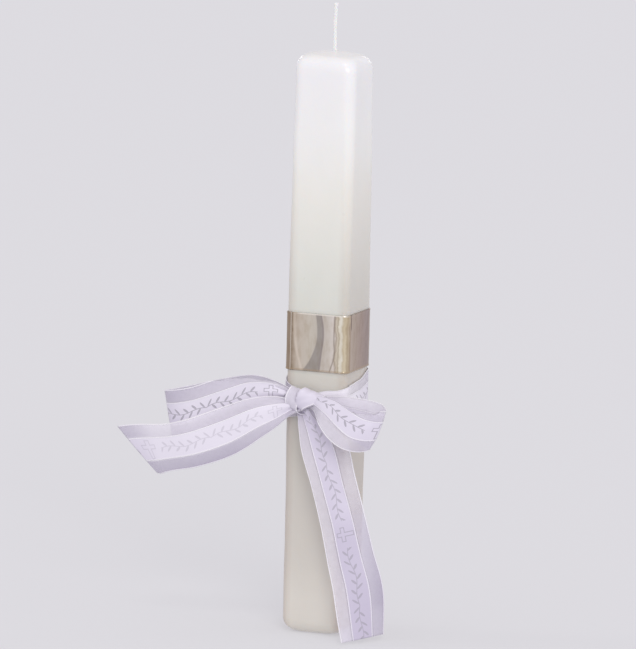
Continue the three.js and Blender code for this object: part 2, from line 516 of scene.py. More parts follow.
def add_wax():
    rings = base_rings() + side_rings(BASE_ROUND[1], TOP_EDGE - TOP_ROUND[1])
    rings += top_rings(*rings[-1])
    rings += crown_rings(*rings[-1])
    columns = len(square_ring(10, 2, 0))
    points = np.concatenate([square_ring(*ring) for ring in rings])
    side = (points[:, 2] > 1) & (points[:, 2] < TOP_EDGE - 1)
    waved = uneven(points, amount=0.16, size=22, seed=40)
    points[side] = waved[side]
    points = with_drip(points)
    points[:, 2] += top_rise(points)
    faces = grid_faces(len(rings), columns)
    last = (len(rings) - 1) * columns
    faces.append(tuple(range(columns - 1, -1, -1)))
    faces.append(tuple(range(last, last + columns)))
    wax = new_object("pillar_wax", points, faces, [wax_material()])
    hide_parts("wax_body")
    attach(wax, "candle")


def catmull_rom(points, steps):
    """Centripetal Catmull-Rom curve through rows of numbers, with steps rows for each span. A row's
    first three numbers are its place."""
    rows = np.asarray(points, float)
    rows = np.vstack([2 * rows[0] - rows[1], rows, 2 * rows[-1] - rows[-2]])
    out = []
    for k in range(1, len(rows) - 2):
        p = rows[k - 1 : k + 3]
        gaps = [max(np.linalg.norm(p[i + 1, :3] - p[i, :3]) ** 0.5, 1e-4) for i in range(3)]
        a, b, c = gaps
        m1 = ((p[1] - p[0]) / a - (p[2] - p[0]) / (a + b) + (p[2] - p[1]) / b) * b
        m2 = ((p[2] - p[1]) / b - (p[3] - p[1]) / (b + c) + (p[3] - p[2]) / c) * b
        last = k == len(rows) - 3
        for t in np.linspace(0, 1, steps, endpoint=False).tolist() + ([1.0] if last else []):
            t2, t3 = t * t, t * t * t
            out.append(
                p[1] * (2 * t3 - 3 * t2 + 1)
                + m1 * (t3 - 2 * t2 + t)
                + p[2] * (3 * t2 - 2 * t3)
                + m2 * (t3 - t2)
            )
    return np.array(out)


# The wick's middle line: x, and height over the top of the candle.
WICK_BOW = [(0, -6), (0, -3), (0, 0), (-0.2, 8.2), (-0.3, 16.4), (-0.1, 22), (0.1, 26.6)]
STRAND = 0.5  # radius of one strand
PLAIT_HALF = (0.46, 0.28)  # how far a strand swings across and in and out
PLAIT_PITCH = 5.2
SOAKED_TO = 8.2  # wax thickens the wick up to here, from the start of its middle line
SOAKED_SOFT = 2.2
FRAYED = 2.2  # the strands part over this length at the tip


def tube(path, radii, sides, start):
    """Points and faces of a round closed tube along a path."""
    points = []
    tangents = np.gradient(path, axis=0)
    for k, centre in enumerate(path):
        t = Vector(tangents[k]).normalized()
        u = t.cross(Vector((0, 1, 0))).normalized()
        v = t.cross(u)
        for j in range(sides):
            a = tau * j / sides
            outward = np.array(u) * cos(a) + np.array(v) * sin(a)
            points.append(centre + radii[k] * outward)
    faces = grid_faces(len(path), sides, start=start)
    last = start + (len(path) - 1) * sides
    faces.append(tuple(range(start + sides - 1, start - 1, -1)))
    faces.append(tuple(range(last, last + sides)))
    return points, faces


def add_wick():
    spine = catmull_rom([(x, 0, WAX_TOP + z) for x, z in WICK_BOW], 26)
    points, faces = [], []
    for strand in range(3):
        path, radii = [], []
        for k, centre in enumerate(spine):
            along = centre[2] - spine[0][2]
            turn = tau * (along / PLAIT_PITCH + strand / 3)
            to_tip = spine[-1][2] - centre[2]
            spread = 1 + 0.5 * max(0, 1 - to_tip / FRAYED)
            across = PLAIT_HALF[0] * sin(turn) * spread
            depth = PLAIT_HALF[1] * sin(2 * turn) * spread
            path.append(centre + np.array((across, depth, 0)))
            rounding = sqrt(max(0.05, 1 - (1 - min(1, to_tip / 0.5)) ** 2))
            soaked = 1 + 0.45 * exp(-max(0, along - SOAKED_TO) / SOAKED_SOFT)
            radii.append(STRAND * rounding * soaked)
        more, quads = tube(np.array(path), radii, 10, len(points))
        points += more
        faces += quads
    wick = new_object("plaited_wick", points, faces, [wick_material()])
    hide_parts("wick")
    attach(wick, "candle")


# ---- metal sleeve

SLEEVE_WALL = 0.4
SLEEVE_CORNER = 3.9  # plan radius of its corners
RIM_LIP = 0.16  # how far the rims stand out from the wall
WALL_STEPS = 26

# Colours round the sleeve's front and right faces, by distance from the left end of the front: the
# pale gold with painted reflections, its light and dark bands, the gold streaks and highlights by the
# near corner and the dark left edge.
SLEEVE_GOLD_AND_PAINTED_REFLECTIONS = [
    (0.0, (0.36, 0.28, 0.20)),
    (1.2, (0.50, 0.41, 0.32)),
    (2.8, (0.67, 0.58, 0.48)),
    (5.0, (0.71, 0.63, 0.53)),
    (10.5, (0.735, 0.675, 0.575)),
    (14.0, (0.70, 0.64, 0.55)),
    (17.4, (0.70, 0.635, 0.56)),
    (20.5, (0.77, 0.71, 0.63)),
    (22.9, (0.88, 0.81, 0.74)),
    (24.0, (0.56, 0.48, 0.39)),
    (24.8, (0.80, 0.72, 0.58)),
    (25.6, (0.62, 0.54, 0.42)),
    (26.2, (0.97, 0.91, 0.76)),
    (27.2, (0.99, 0.95, 0.82)),
    (28.2, (0.74, 0.64, 0.46)),
    (29.4, (0.82, 0.72, 0.52)),
    (30.6, (0.60, 0.49, 0.34)),
    (31.6, (0.66, 0.56, 0.42)),
    (32.8, (0.48, 0.37, 0.27)),
    (34.5, (0.55, 0.45, 0.37)),
    (38.0, (0.49, 0.39, 0.31)),
    (48.0, (0.42, 0.32, 0.27)),
    (58.0, (0.36, 0.28, 0.26)),
    (61.0, (0.42, 0.34, 0.29)),
]
SLEEVE_SPAN = 66.0  # the front and right faces with their corners

# Colours of the streaks on the back and left faces, by the strength of the streak.
STREAK_COLOURS = [
    (0.30, (0.56, 0.48, 0.42)),
    (0.43, (0.67, 0.59, 0.52)),
    (0.55, (0.74, 0.66, 0.58)),
    (0.70, (0.84, 0.77, 0.68)),
]

# Lines of painted reflection that wander as they rise: shares of the sleeve's height and of
# CURVE_SPAN.
CURVE_SPAN = 30.0
REFLECTED_WEDGE_LEFT = [(0, 0.2), (0.14, 0.31), (0.3, 0.39), (0.5, 0.455), (0.67, 0.47), (1, 0.437)]
REFLECTED_WEDGE_RIGHT = [(0, 0.525), (0.3, 0.557), (0.67, 0.592), (1, 0.54)]
REFLECTED_PALE_LINE = [(0, 0.2), (0.2, 0.14), (0.45, 0.085), (1, 0.05)]
REFLECTED_THIN_LINE = [(0, 0.70), (0.08, 0.725), (0.17, 0.755), (0.3, 0.785), (0.55, 0.775), (1, 0.785)]

# Painted reflections drawn along those lines: from, to, softness, strength and colour.
SLEEVE_REFLECTED_LINES = [
    (REFLECTED_WEDGE_RIGHT, -0.9, 0.1, 0.5, 0.6, (0.40, 0.345, 0.33)),
    (REFLECTED_PALE_LINE, -0.7, 0.7, 0.9, 0.6, (0.88, 0.78, 0.66)),
    (REFLECTED_THIN_LINE, -0.3, 0.4, 0.4, 0.75, (0.42, 0.36, 0.31)),
]


def wavering(made, height, stops):
    """Distance along the front of a line that wanders as it rises."""
    return made.times(made.curve(height, stops), CURVE_SPAN)


def sleeve_bands(made, around, height):
    """Painted reflections as soft bands on the front and right faces, random streaks on the two that
    the bow hides, and a painted dark reflection at the front-left corner.
    """
    drift = made.noise(made.join(made.times(around, 0.05), made.times(height, 3)), 2.0)
    shifted = made.plus(around, made.times(made.minus(drift, 0.5), 3.2))
    stops = [(place / SLEEVE_SPAN, colour) for place, colour in SLEEVE_GOLD_AND_PAINTED_REFLECTIONS]
    reflection_bands = made.ramp(made.math("DIVIDE", shifted, SLEEVE_SPAN), stops)
    streaks = made.noise(made.join(made.times(around, 0.16), height, 3.0), 1.5, 3)
    past_bands = made.ramp_up(around, SLEEVE_SPAN - 5, 4)
    at_end = made.ramp_up(around, 131.5, 3)
    on_streaks = made.minus(past_bands, at_end, clamp=True)
    colour = made.mix(on_streaks, reflection_bands, made.ramp(streaks, STREAK_COLOURS))
    # painted dark reflection along the front-left corner, at the end of the left face
    return made.mix(made.ramp_up(around, 127.8, 2.2), colour, (0.39, 0.305, 0.225))


def with_lines(made, colour, around, height):
    """Adds the painted reflections: the grey wedge and the wavering lines."""
    past_left = made.ramp_up(around, wavering(made, height, REFLECTED_WEDGE_LEFT), 0.7)
    past_right = made.ramp_up(around, wavering(made, height, REFLECTED_WEDGE_RIGHT), 0.5)
    in_reflected_wedge = made.times(past_left, made.minus(1.0, past_right))
    # painted reflection: the grey wedge on the front
    colour = made.mix(in_reflected_wedge, colour, (0.455, 0.415, 0.375))
    for stops, low, high, soft, strength, tint in SLEEVE_REFLECTED_LINES:
        beside = made.minus(around, wavering(made, height, stops))
        on_line = made.between(beside, low, high, soft)
        colour = made.mix(made.times(on_line, strength), colour, tint)
    return colour


def with_marks(made, colour, around, height):
    """Adds a painted slit of shadow, a small dark patch low down, tarnish, a painted highlight on the
    upper lip and a darker foot.
    """
    slit = made.times(made.between(around, 33.6, 34.5, 0.3), made.ramp_up(height, 0.74, 0.06))
    # a small dark patch low down by the right face's far edge
    beside = made.between(around, 60.6, 61.8, 0.4)
    dark_patch = made.times(beside, made.between(height, 0.1, 0.24, 0.06))
    colour = made.mix(made.math("MAXIMUM", slit, dark_patch), colour, (0.16, 0.10, 0.07))
    across = made.join(made.times(around, 0.22), made.times(height, 2.2), 5.0)
    tarnish_stops = [(0.36, (0.84, 0.80, 0.74)), (0.56, (1.0, 1.0, 1.0))]
    tarnish = made.ramp(made.noise(across, 1.6, 4), tarnish_stops)
    colour = made.mix(0.6, colour, tarnish, "MULTIPLY")
    # painted highlight along the upper rim of the front
    lip_highlight = made.times(made.ramp_up(height, 0.978, 0.012), made.between(around, 3.5, 31, 3))
    colour = made.mix(made.times(lip_highlight, 0.85), colour, (0.99, 0.94, 0.84))
    by_foot = made.minus(1.0, made.ramp_up(height, 0.035, 0.02))
    return made.mix(made.times(by_foot, 0.5), colour, (0.50, 0.38, 0.25))


def sleeve_material():
    """Polished pale gold metal, its colour carrying painted reflections, a painted highlight on the
    upper lip and painted shadow in a slit.
    """
    made = Nodes("sleeve_metal")
    around, height = made.attribute("around"), made.attribute("height")
    colour = sleeve_bands(made, around, height)
    colour = with_lines(made, colour, around, height)
    made.set("Metallic", 1.0)
    made.set("Base Color", with_marks(made, colour, around, height))
    grain = made.noise(made.join(around, made.times(height, 4)), 3.0, 4)
    made.set("Roughness", made.plus(made.times(grain, 0.12), 0.12))
    return made.material


def sleeve_profile(low, high, inner, half):
    """Half widths and heights of the sheet, from inside the lower rim to inside the upper one."""
    rim = [(inner, 0.5), (inner + 0.05, 0.15), (half - 0.1, 0)]
    rim += [(half + RIM_LIP * 0.6, 0.12), (half + RIM_LIP, 0.4), (half + RIM_LIP * 0.5, 0.85)]
    wall = [low + 1.3 + (high - low - 2.6) * k / WALL_STEPS for k in range(WALL_STEPS + 1)]
    profile = [(across, low + up) for across, up in rim]
    profile += [(half, z) for z in wall]
    return profile + [(across, high - down) for across, down in reversed(rim)]


def add_sleeve():
    low, high = SLEEVE_LOW[2], SLEEVE_HIGH[2]
    half = SLEEVE_HIGH[0] - RIM_LIP / 2
    profile = sleeve_profile(low, high, SLEEVE_HIGH[0] - SLEEVE_WALL, half)
    rings = [square_ring(h, SLEEVE_CORNER - (SLEEVE_HIGH[0] - h), z, 26) for h, z in profile]
    columns = len(rings[0])
    points = np.concatenate(rings)
    outside = np.repeat([h >= half for h, z in profile], columns)
    waved = uneven(points, amount=0.09, size=9, seed=7)
    points[outside] = waved[outside]
    along = distances(square_ring(half, SLEEVE_CORNER, 0, 26))
    faces = grid_faces(len(profile), columns)
    last = (len(profile) - 1) * columns
    faces += [(last + j, last + (j + 1) % columns, (j + 1) % columns, j) for j in range(columns)]
    sleeve = new_object("sleeve_shell", points, faces, [sleeve_material()])
    height = (points[:, 2] - low) / (high - low)
    add_attributes(sleeve, around=np.tile(along, len(profile)), height=height)
    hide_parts("metal_sleeve")
    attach(sleeve, "sleeve")


# ---- ribbon

SATIN_HALF = 5.4  # the satin middle ends here, and its woven border starts
BORDER_HALF = 5.9
SELVEDGE = 0.5  # width of the woven line along each edge
CLOTH = 0.2  # thickness
CORD = 0.32  # thickness of the woven lines
ROW_STEP = 0.8
PRINT_PERIOD = 75.0
REVERSE_INK = 0.4  # how much of the print shows through the back
CROSS_LINE = 0.24  # half width of the printed cross's outline
LEAF_STEP = 5.1  # the printed sprig: distance between leaves on one side of the stem
LEAF_LONG = 1.95  # half length of a leaf
LEAF_SHORT = 0.55  # half width of a leaf
LEAF_TILT = 0.8  # how far a leaf leans from the stem, in radians
STEM_HALF = 0.2
STEM_SWAY = 0.75
CROSS_CLEAR = 7.0  # the sprig keeps this far from the middle of the cross

# The ribbon's materials, by their place in RIBBON_MATERIALS.
SATIN, ORGANZA, WOVEN_LINE = 0, 1, 2


def ribbon_columns():
    """Places across the ribbon, from one selvedge to the other."""
    edge = RIBBON_WIDTH / 2
    half = list(np.linspace(0, SATIN_HALF, 11))
    half += list(np.linspace(SATIN_HALF, BORDER_HALF, 4))[1:]
    half += list(np.linspace(BORDER_HALF, edge - SELVEDGE, 9))[1:]
    half += list(np.linspace(edge - SELVEDGE, edge, 4))[1:]
    half = np.array(half)
    return np.concatenate([-half[:0:-1], half])


COLUMNS = ribbon_columns()


def column_kind(v):
    """Which material the ribbon is made of, at a place between two columns."""
    v = abs(v)
    if v < SATIN_HALF:
        return SATIN
    if v < BORDER_HALF or v > RIBBON_WIDTH / 2 - SELVEDGE:
        return WOVEN_LINE
    return ORGANZA


def bar_distance(made, x, y, middle_y, half_x, half_y):
    """How far a point is outside a bar; less than 0 inside it."""
    dx = made.minus(made.math("ABSOLUTE", x), half_x)
    dy = made.math("ABSOLUTE", made.minus(y, middle_y))
    return made.math("MAXIMUM", dx, made.minus(dy, half_y))


def cross_mask(made, place, across):
    """An outlined cross, place being the distance along the ribbon from its middle."""
    upright = bar_distance(made, place, across, -0.3, 1.0, 4.5)
    arms = bar_distance(made, place, across, 1.0, 3.6, 1.0)
    outline = made.math("ABSOLUTE", made.math("MINIMUM", upright, arms))
    return made.math("LESS_THAN", outline, CROSS_LINE)


def leaves(made, along, y, shift, way):
    """Leaves along one side of the stem, each a slim oval leaning outwards."""
    moved = made.plus(along, shift)
    x = made.minus(made.math("FLOORED_MODULO", moved, LEAF_STEP), LEAF_STEP / 2)
    c, s = cos(LEAF_TILT), sin(LEAF_TILT)
    dx = made.minus(x, LEAF_LONG * c - LEAF_STEP / 2 + 0.9)
    dy = made.minus(made.times(y, way), LEAF_LONG * s + 0.1)
    long_way = made.plus(made.times(dx, c), made.times(dy, s))
    short_way = made.minus(made.times(dy, c), made.times(dx, s))
    a = made.math("POWER", made.math("DIVIDE", long_way, LEAF_LONG), 2.0)
    b = made.math("POWER", made.math("DIVIDE", short_way, LEAF_SHORT), 2.0)
    leaf = made.math("LESS_THAN", made.plus(a, b), 1.0)
    return made.times(leaf, made.math("GREATER_THAN", along, 0.8 * shift))


def sprig_mask(made, from_cross, across):
    """A swaying stem with leaves on both sides, mirrored midway between crosses."""
    along = made.minus(PRINT_PERIOD / 2, from_cross)
    sway = made.math("SINE", made.times(along, tau / (4 * LEAF_STEP)))
    y = made.minus(across, made.times(sway, STEM_SWAY))
    stem = made.math("LESS_THAN", made.math("ABSOLUTE", y), STEM_HALF)
    one_side = leaves(made, along, y, 0.0, 1.0)
    other_side = leaves(made, along, y, LEAF_STEP / 2, -1.0)
    sprig = made.math("MAXIMUM", stem, made.math("MAXIMUM", one_side, other_side))
    return made.times(sprig, made.math("GREATER_THAN", from_cross, CROSS_CLEAR))


def print_mask(made):
    """1 where the ink is: an outlined cross once a period, and an olive sprig between them."""
    along, across = made.attribute("along"), made.attribute("across")
    shifted = made.plus(along, PRINT_PERIOD / 2)
    place = made.minus(made.math("FLOORED_MODULO", shifted, PRINT_PERIOD), PRINT_PERIOD / 2)
    sprig = sprig_mask(made, made.math("ABSOLUTE", place), across)
    return made.math("MAXIMUM", cross_mask(made, place, across), sprig)


def satin_material():
    """Lilac-white satin with the print in grey ink, and painted light and shade from a brightness
    stored on each point.
    """
    made = Nodes("satin")
    along, across = made.attribute("along"), made.attribute("across")
    threads = made.noise(made.join(made.times(along, 0.25), across), 4.0, 3)
    bright = made.mix(threads, (0.89, 0.855, 0.935), (0.97, 0.935, 1.0))
    # painted light and shade: a shaded lilac copy of the cloth mixed with the lit one by a brightness
    # stored on each point
    cloth = made.mix(made.attribute("tone"), (0.44, 0.385, 0.54), bright)
    inked = made.times(print_mask(made), made.attribute("ink"))
    made.set("Base Color", made.mix(inked, cloth, (0.36, 0.34, 0.39)))
    made.look(Roughness=0.36, Specular_IOR_Level=0.5, Anisotropic=0.5, Sheen_Weight=0.15)
    made.bump(threads, 0.15, 0.0001)
    return made.material


def organza_material():
    """Sheer lilac band: an open weave that shows what is behind it, less so where it's folded,
    darkened by painted shade where its stored brightness is low.
    """
    made = Nodes("organza")
    along, across = made.attribute("along"), made.attribute("across")
    warp = made.math("SINE", made.times(across, tau / 0.42))
    weft = made.math("SINE", made.times(along, tau / 0.46))
    mesh = made.times(made.plus(warp, weft), 0.05)
    cloud = made.times(made.noise(made.join(along, across), 0.35, 2), 0.1)
    weave = made.plus(mesh, cloud)
    cover = made.plus(weave, made.attribute("cover"), clamp=True)
    tint = made.mix(made.attribute("tone"), (0.33, 0.275, 0.43), (0.97, 0.935, 1.0))
    made.set("Base Color", tint)
    made.look(Alpha=cover, Roughness=0.5, Sheen_Weight=0.4)
    return made.material


def woven_line_material():
    """The white lines along the edges and beside the satin, with their small picots, greyed by
    painted shade where the stored brightness is low.
    """
    made = Nodes("woven_line")
    along = made.attribute("along")
    stitch = made.math("SINE", made.times(along, tau / 0.9))
    share = made.plus(made.times(stitch, 0.3), 0.65, clamp=True)
    white = made.mix(share, (0.90, 0.87, 0.93), (1.0, 0.98, 1.0))
    made.set("Base Color", made.mix(made.attribute("tone"), (0.80, 0.76, 0.85), white))
    made.look(Roughness=0.3, Sheen_Weight=0.2)
    made.bump(stitch, 0.5, 0.0002)
    return made.material


RIBBON_MATERIALS = [satin_material(), organza_material(), woven_line_material()]


def cloth_thickness(kinds):
    """How thick the cloth is at each column, more inside a woven line."""
    thick = np.full(len(kinds) + 1, CLOTH)
    for j in range(1, len(kinds)):
        if kinds[j - 1] == WOVEN_LINE and kinds[j] == WOVEN_LINE:
            thick[j] = CORD
    return thick


def cloth_faces(rows, kinds, face):
    """Faces and their materials: both sides of the cloth and the rim between them."""
    columns = len(kinds) + 1
    count = rows * columns
    faces, slots = [], []
    for i in range(rows - 1):
        for j, kind in enumerate(kinds):
            a, b = i * columns + j, i * columns + j + 1
            quad = (a, b, b + columns, a + columns)[::face]
            faces += [quad, tuple(count + k for k in reversed(quad))]
            slots += [kind, kind]
    rim = [i * columns for i in range(rows)]
    rim += [(rows - 1) * columns + j for j in range(1, columns)]
    rim += [i * columns + columns - 1 for i in range(rows - 2, -1, -1)]
    rim += [j for j in range(columns - 2, 0, -1)]
    for a, b in zip(rim, rim[1:] + rim[:1]):
        faces.append((a, b, count + b, count + a) if face > 0 else (b, a, count + a, count + b))
        slots.append(WOVEN_LINE)
    return faces, slots


class Strip:
    """A length of ribbon along a path. face, 1 or -1, is the side that its print looks towards,
    print_from is where its start is in the print, and print_up turns the print over."""

    def __init__(self, rows, face, print_from=0.0, print_up=1, ink=0.75, columns=COLUMNS):
        self.resample(rows)
        self.normal = unit(np.cross(self.across, unit(np.gradient(self.centre, axis=0))) * face)
        self.face = face
        self.print_from = print_from
        self.print_up = print_up
        self.ink = ink
        self.columns = columns
        self.spread = np.tile(columns, (len(self.centre), 1))
        self.lift = np.zeros(self.spread.shape)

    def resample(self, rows):
        """Spaces the rows evenly: each is a point, the direction of the width, and its share."""
        along = distances(rows[:, :3])
        self.length = along[-1]
        self.along = np.linspace(0, self.length, max(8, int(self.length / ROW_STEP)))
        even = np.column_stack([np.interp(self.along, along, column) for column in rows.T])
        self.centre, self.across, self.share = even[:, :3], unit(even[:, 3:6]), even[:, 6]

    def pleat(self, folds, most, drift=0.0, phase=0.0, outward=False):
        """Folds the cloth lengthwise wherever it is narrower than its full width."""
        v = self.columns / RIBBON_WIDTH
        for i, share in enumerate(self.share):
            slack = sqrt(max(0.0, 1 / min(share, 1) ** 2 - 1))
            amount = min(most, slack * share * RIBBON_WIDTH / folds / pi)
            amount *= min(1.0, max(0.0, (0.97 - share) / 0.5))
            wave = np.cos(tau * folds * v + phase + drift * self.along[i])
            uneven_folds = 1 + 0.35 * np.cos(tau * v * 1.3 + 1.1 + phase)
            self.lift[i] += amount * uneven_folds * (wave + 1 if outward else wave)

    def eased(self, stops):
        """A value for each row, from stops (share of the length, value)."""
        return np.array([ease(s / self.length, stops) for s in self.along])[:, None]

    def graded(self, low_edge, high_edge, middle=None):
        """Values over the cloth from stops for each edge, and for the satin."""
        high_share = self.columns / RIBBON_WIDTH + 0.5
        edges = self.eased(low_edge) * (1 - high_share) + self.eased(high_edge) * high_share
        if middle is None:
            return edges
        on_satin = np.clip((BORDER_HALF + 0.6 - abs(self.columns)) / 0.6, 0, 1)
        return edges + (self.eased(middle) - edges) * on_satin

    def shade(self, low_edge, high_edge, middle=None):
        """Painted light and shade: how bright the cloth is drawn, from 0 to 1."""
        self.tone = self.graded(low_edge, high_edge, middle)

    def veil(self, low_edge, high_edge):
        """How much the organza hides, from 0 to 1."""
        self.cover = self.graded(low_edge, high_edge)

    def crease(self, amount, spacing, drift=0.0):
        """Soft lengthwise creases."""
        slant = drift * self.along[:, None]
        self.lift += amount * np.cos(tau * self.spread / spacing + slant)

    def slide(self, stops):
        """Moves the middle of the cloth across while its edges stay."""
        self.spread += self.eased(stops) * (1 - (2 * self.columns / RIBBON_WIDTH) ** 2)

    def tuck(self, side, limits, radius=0.5, other=None):
        """Turns the cloth under beyond a limit, its distance from the middle line on side -1 or 1.
        other is the limit on the far side, if that is tucked too."""
        reach = max(side * self.columns)
        far_limits = self.eased(other or [(0, max(-side * self.columns))])[:, 0]
        for i, (limit, far_limit) in enumerate(zip(self.eased(limits)[:, 0], far_limits)):
            room = max(0.5, limit + far_limit - 0.4)
            spare = max(reach - limit - pi * radius, 1e-6)
            squeeze = min(1.0, room / spare)
            for j, v in enumerate(self.columns):
                beyond = v * side - limit
                if beyond <= 0:
                    continue
                angle = min(pi, beyond / radius)
                back = max(0.0, beyond - pi * radius) * squeeze
                self.spread[i, j] = side * (limit + radius * sin(angle) - back)
                self.lift[i, j] -= radius * (1 - cos(angle))

    def camber(self, stops):
        """Bows the cloth across its width."""
        self.lift += self.eased(stops) * (1 - (2 * self.spread / RIBBON_WIDTH) ** 2)

    def middle(self):
        """Points of the cloth's middle surface, rows by columns."""
        reach = (self.spread * self.share[:, None])[:, :, None]
        return (
            self.centre[:, None, :]
            + self.across[:, None, :] * reach
            + self.normal[:, None, :] * self.lift[:, :, None]
        )

    def surfaces(self, kinds):
        """Points of the printed side, then of the other, rows by columns."""
        middle = self.middle()
        out = unit(np.cross(np.gradient(middle, axis=1), np.gradient(middle, axis=0)) * self.face)
        half_thick = cloth_thickness(kinds)[None, :, None] / 2
        sides = [middle + out * half_thick, middle - out * half_thick]
        return np.concatenate([side.reshape(-1, 3) for side in sides])

    def build(self, name, held, rests_on, replaces):
        rows, columns = self.spread.shape
        count = rows * columns
        kinds = [column_kind((a + b) / 2) for a, b in zip(self.columns, self.columns[1:])]
        faces, slots = cloth_faces(rows, kinds, self.face)
        piece = new_object(name, self.surfaces(kinds), faces, RIBBON_MATERIALS, slots)
        along = np.repeat(self.along + self.print_from, columns)
        across = np.tile(self.columns * self.print_up, rows * 2)
        ink = np.repeat([self.ink, self.ink * REVERSE_INK], count)
        tone, cover = np.tile(self.tone.ravel(), 2), np.tile(self.cover.ravel(), 2)
        add_attributes(piece, along=np.tile(along, 2), across=across, ink=ink, tone=tone, cover=cover)
        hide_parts(replaces)
        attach(piece, "ribbon")


def strip_through(stations, face, **facts):
    """A strip on a smooth path through stations: x from the knot's middle, out from the wrap's
    front, z from the knot's middle, the direction of the width, and the share of it spread out."""
    rows = []
    for x, out, z, across, share in stations:
        width = Vector(across).normalized()
        rows.append((KNOT[0] + x, WRAP_LOW[1] - out, KNOT[2] + z, *width, share))
    rows = catmull_rom(rows, 16)
    rows[:, 6] = np.clip(rows[:, 6], 0.12, 1.4)
    return Strip(rows, face, **facts)


LOOP_LEFT = [
    (-1, 3.6, 1.2, (0, 0, 1), 0.3),
    (-5.6, 4.1, 1.8, (0, 0, 1), 0.36),
    (-15.5, 6.1, 3.6, (0, 0, 1), 0.68),
    (-28.3, 7.4, 2.0, (-0.08, 0, 1), 0.95),
    (-44.8, 7.4, -4.4, (-0.12, 0, 1), 1),
    (-61.2, 6, -10.8, (-0.17, 0, 0.98), 1),
    (-72, 4.6, -13.2, (-0.19, 0, 0.98), 1),
    (-76, 2.2, -13.8, (-0.19, 0, 0.98), 1),
    (-72, 0, -13, (-0.19, 0, 0.98), 1),
    (-61.2, -0.6, -10.2, (-0.17, 0, 0.98), 1),
    (-44.8, -0.4, -5.4, (-0.1, 0, 1), 1),
    (-28.3, 0.9, -2.2, (-0.04, 0, 1), 1),
    (-15.5, 1.8, -0.9, (0, 0, 1), 0.72),
    (-5.6, 2, 0, (0, 0, 1), 0.34),
    (-1, 2, 0, (0, 0, 1), 0.3),
]


def loop_left():
    strip = strip_through(LOOP_LEFT, 1, print_from=-17)
    strip.pleat(2.5, 0.9, drift=0.02)
    strip.tuck(1, [(0, 6.4), (0.14, 6.6), (0.19, 8), (0.28, 11), (0.36, 13.5), (1, 13.5)], 0.4)
    strip.shade(
        [(0, 0.7), (0.1, 0.95), (0.4, 0.95), (0.5, 0.7), (1, 0.6)],
        [(0, 0.6), (0.12, 0.75), (0.35, 0.65), (0.5, 0.45), (0.75, 0.5), (1, 0.4)],
        [(0, 0.6), (0.1, 0.74), (0.4, 0.78), (0.5, 0.6), (1, 0.5)],
    )
    strip.veil([(0, 0.6), (0.3, 0.45), (1, 0.45)], [(0, 0.6), (0.2, 0.5), (0.5, 0.42), (1, 0.45)])
    strip.build("bow_loop_left", "gathered", ["ribbon_knot"], "ribbon_loop_left")


LOOP_RIGHT = [
    (1, 6.2, 0.6, (0, 0, 1), 0.3),
    (5.6, 6.8, 0.8, (0.1, 0, 1), 0.34),
    (15, 11.5, -2.2, (0.42, 0.28, 0.86), 0.66),
    (24, 15.4, -6.6, (0.48, 0.3, 0.82), 0.86),
    (33, 16.4, -10, (0.46, 0.3, 0.83), 0.97),
    (40, 14.6, -11.2, (0.4, 0.26, 0.88), 0.95),
    (43.2, 11.4, -10.8, (0.32, 0.2, 0.92), 0.88),
    (40.5, 8.2, -9.4, (0.26, 0.12, 0.96), 0.95),
    (27.5, 6.3, -6.6, (0.08, 0, 1), 0.86),
    (14, 5.1, -2.8, (0, 0, 1), 0.5),
    (5.6, 4.4, -0.8, (0, 0, 1), 0.32),
    (1, 4.2, -0.4, (0, 0, 1), 0.3),
]


def loop_right():
    strip = strip_through(LOOP_RIGHT, -1, print_from=-48)
    strip.pleat(1.5, 0.35, drift=0.02, phase=1.0)
    strip.slide([(0, 0), (0.1, 3.2), (0.22, 3.4), (0.42, 0.4), (1, 0)])
    strip.tuck(1, [(0, 6.4), (0.3, 6.4), (0.42, 9.5), (0.5, 13.5), (1, 13.5)], 0.5)
    strip.camber([(0, 0), (0.15, 0.5), (0.3, 1.5), (0.5, 1.2), (0.8, 0), (1, 0)])
    strip.shade(
        [(0, 0.65), (0.2, 0.98), (0.36, 0.9), (0.46, 0.5), (0.6, 0.75), (1, 0.75)],
        [(0, 0.7), (0.2, 0.85), (0.35, 0.8), (0.45, 0.65), (0.7, 0.98), (1, 0.85)],
        [(0, 0.6), (0.2, 0.68), (0.35, 0.63), (0.45, 0.58), (0.6, 0.78), (1, 0.8)],
    )
    strip.veil(
        [(0, 0.6), (0.15, 0.4), (0.35, 0.34), (0.5, 0.5), (1, 0.5)],
        [(0, 0.6), (0.4, 0.5), (0.7, 0.55), (1, 0.6)],
    )
    strip.build("bow_loop_right", "gathered", ["ribbon_knot"], "ribbon_loop_right")


TAIL_LEFT = [
    (-1, 5.8, -1.6, (0, 0, 1), 0.28),
    (-5.6, 6.6, -3.2, (0, 0, 1), 0.32),
    (-13.6, 8.6, -6, (-0.12, 0, 0.99), 0.62),
    (-23.4, 10.2, -9.8, (-0.36, 0, 0.93), 0.82),
    (-40, 10.6, -18.6, (-0.36, 0, 0.93), 1),
    (-59.3, 10.6, -26.4, (-0.36, 0, 0.93), 1),
    (-76, 8.6, -30.6, (-0.28, 0, 0.96), 1),
    (-91.3, 6.6, -33.2, (-0.71, 0, 0.7), 1.28),
]


